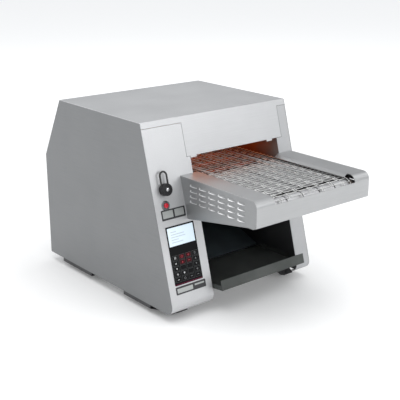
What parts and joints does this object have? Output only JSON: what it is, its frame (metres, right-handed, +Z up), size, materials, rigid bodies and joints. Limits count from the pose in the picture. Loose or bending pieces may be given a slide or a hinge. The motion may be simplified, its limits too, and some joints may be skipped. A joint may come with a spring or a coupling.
{
  "type": "conveyor toaster",
  "caption": "Counter-top conveyor toaster: a wire belt carries bread through a heated chamber and a chute drops the toast on a tray below.",
  "frame": {"origin": "centre of the footprint, on the surface that the feet stand on", "axes": "+X to the right of someone facing the object, -Y towards them, out of the face with the belt, +Z up"},
  "size_m": [0.42, 0.6682, 0.421],
  "materials": {
    "stainless_sheet": "satin",
    "dark_sheet": "satin dark grey",
    "bright_steel": "bright",
    "black_plastic": "matt",
    "black_rubber": "matt",
    "ceramic": "unglazed",
    "heater_tube": "scaled metal sheath",
    "circuit_board": "lacquered",
    "motor_paint": "enamel",
    "red_plastic": "gloss",
    "display": "clear window over a lit screen",
    "bronze": "sintered"
  },
  "bodies": {
    "cabinet": {"base_pan": "stainless_sheet", "left_side_panel": "stainless_sheet", "right_side_panel": "stainless_sheet", "top_cover": "stainless_sheet", "rear_panel": "stainless_sheet", "left_column_cover": "stainless_sheet", "right_column_cover": "stainless_sheet", "left_inner_wall": "dark_sheet", "right_inner_wall": "dark_sheet", "upper_reflector": "dark_sheet", "lower_reflector": "dark_sheet", "upper_heaters": "heater_tube", "lower_heaters": "heater_tube", "heater_bushes": "ceramic", "discharge_chute": "dark_sheet", "tray_runners": "dark_sheet", "conveyor_shroud": "stainless_sheet", "conveyor_left_side": "stainless_sheet", "conveyor_right_side": "stainless_sheet", "conveyor_underpan": "stainless_sheet", "left_belt_rail": "dark_sheet", "right_belt_rail": "dark_sheet", "belt_support": "dark_sheet", "conveyor_belt": "bright_steel", "shaft_bearings": "bronze", "motor_bracket": "stainless_sheet", "gearmotor": "motor_paint", "fan_frame": "black_plastic", "fan_guard": "bright_steel", "power_inlet": "black_plastic", "control_board": "circuit_board", "contactor": "black_plastic", "terminal_block": "ceramic", "display_module": "display", "keypad_sheet": "black_plastic", "button_bezel": "bright_steel", "power_switch": "black_plastic", "socket_collar": "black_plastic", "foot_brackets": "dark_sheet", "cover_screws": "bright_steel"},
    "drive_roller": {"drive_shaft": "bright_steel", "drive_sprockets": "dark_sheet", "drive_coupling": "bright_steel"},
    "idler_roller": {"idler_shaft": "bright_steel", "idler_rollers": "bright_steel"},
    "fan_rotor": {"fan_rotor": "black_plastic"},
    "toast_tray": {"toast_tray": "dark_sheet"},
    "power_button": {"power_button": "red_plastic"},
    "socket_cap": {"socket_cap": "black_plastic", "cap_loop": "black_rubber"},
    "front_left_foot": {"front_left_stem": "bright_steel", "front_left_pad": "black_rubber"},
    "front_right_foot": {"front_right_stem": "bright_steel", "front_right_pad": "black_rubber"},
    "rear_left_foot": {"rear_left_stem": "bright_steel", "rear_left_pad": "black_rubber"},
    "rear_right_foot": {"rear_right_stem": "bright_steel", "rear_right_pad": "black_rubber"}
  },
  "joints": [
    {"name": "drive_turn", "type": "hinge", "parent": "cabinet", "child": "drive_roller", "pos_m": [0, 0.1279, 0.275], "axis": [-1, 0, 0], "continuous": true},
    {"name": "idler_turn", "type": "hinge", "parent": "cabinet", "child": "idler_roller", "pos_m": [0, -0.3119, 0.275], "axis": [-1, 0, 0], "continuous": true},
    {"name": "fan_turn", "type": "hinge", "parent": "cabinet", "child": "fan_rotor", "pos_m": [-0.152, 0.3319, 0.175], "axis": [0, 1, 0], "continuous": true},
    {"name": "tray_slide", "type": "slide", "parent": "cabinet", "child": "toast_tray", "axis": [0, -1, 0], "range_m": [0, 0.12]},
    {"name": "button_press", "type": "slide", "parent": "cabinet", "child": "power_button", "axis": [0, 0.9648, -0.2631], "range_m": [0, 0.002], "stiffness_N_per_m": 400, "springref_m": -0.0005},
    {"name": "cap_pull", "type": "slide", "parent": "cabinet", "child": "socket_cap", "axis": [0, -0.9648, 0.2631], "range_m": [0, 0.014]},
    {"name": "front_left_foot_turn", "type": "hinge", "parent": "cabinet", "child": "front_left_foot", "pos_m": [-0.171, -0.1151, 0], "axis": [0, 0, 1], "continuous": true},
    {"name": "front_right_foot_turn", "type": "hinge", "parent": "cabinet", "child": "front_right_foot", "pos_m": [0.171, -0.1151, 0], "axis": [0, 0, 1], "continuous": true},
    {"name": "rear_left_foot_turn", "type": "hinge", "parent": "cabinet", "child": "rear_left_foot", "pos_m": [-0.171, 0.2379, 0], "axis": [0, 0, 1], "continuous": true},
    {"name": "rear_right_foot_turn", "type": "hinge", "parent": "cabinet", "child": "rear_right_foot", "pos_m": [0.171, 0.2379, 0], "axis": [0, 0, 1], "continuous": true}
  ],
  "couplings": [
    {"joint": "idler_turn", "follows": "drive_turn", "ratio": 1}
  ]
}
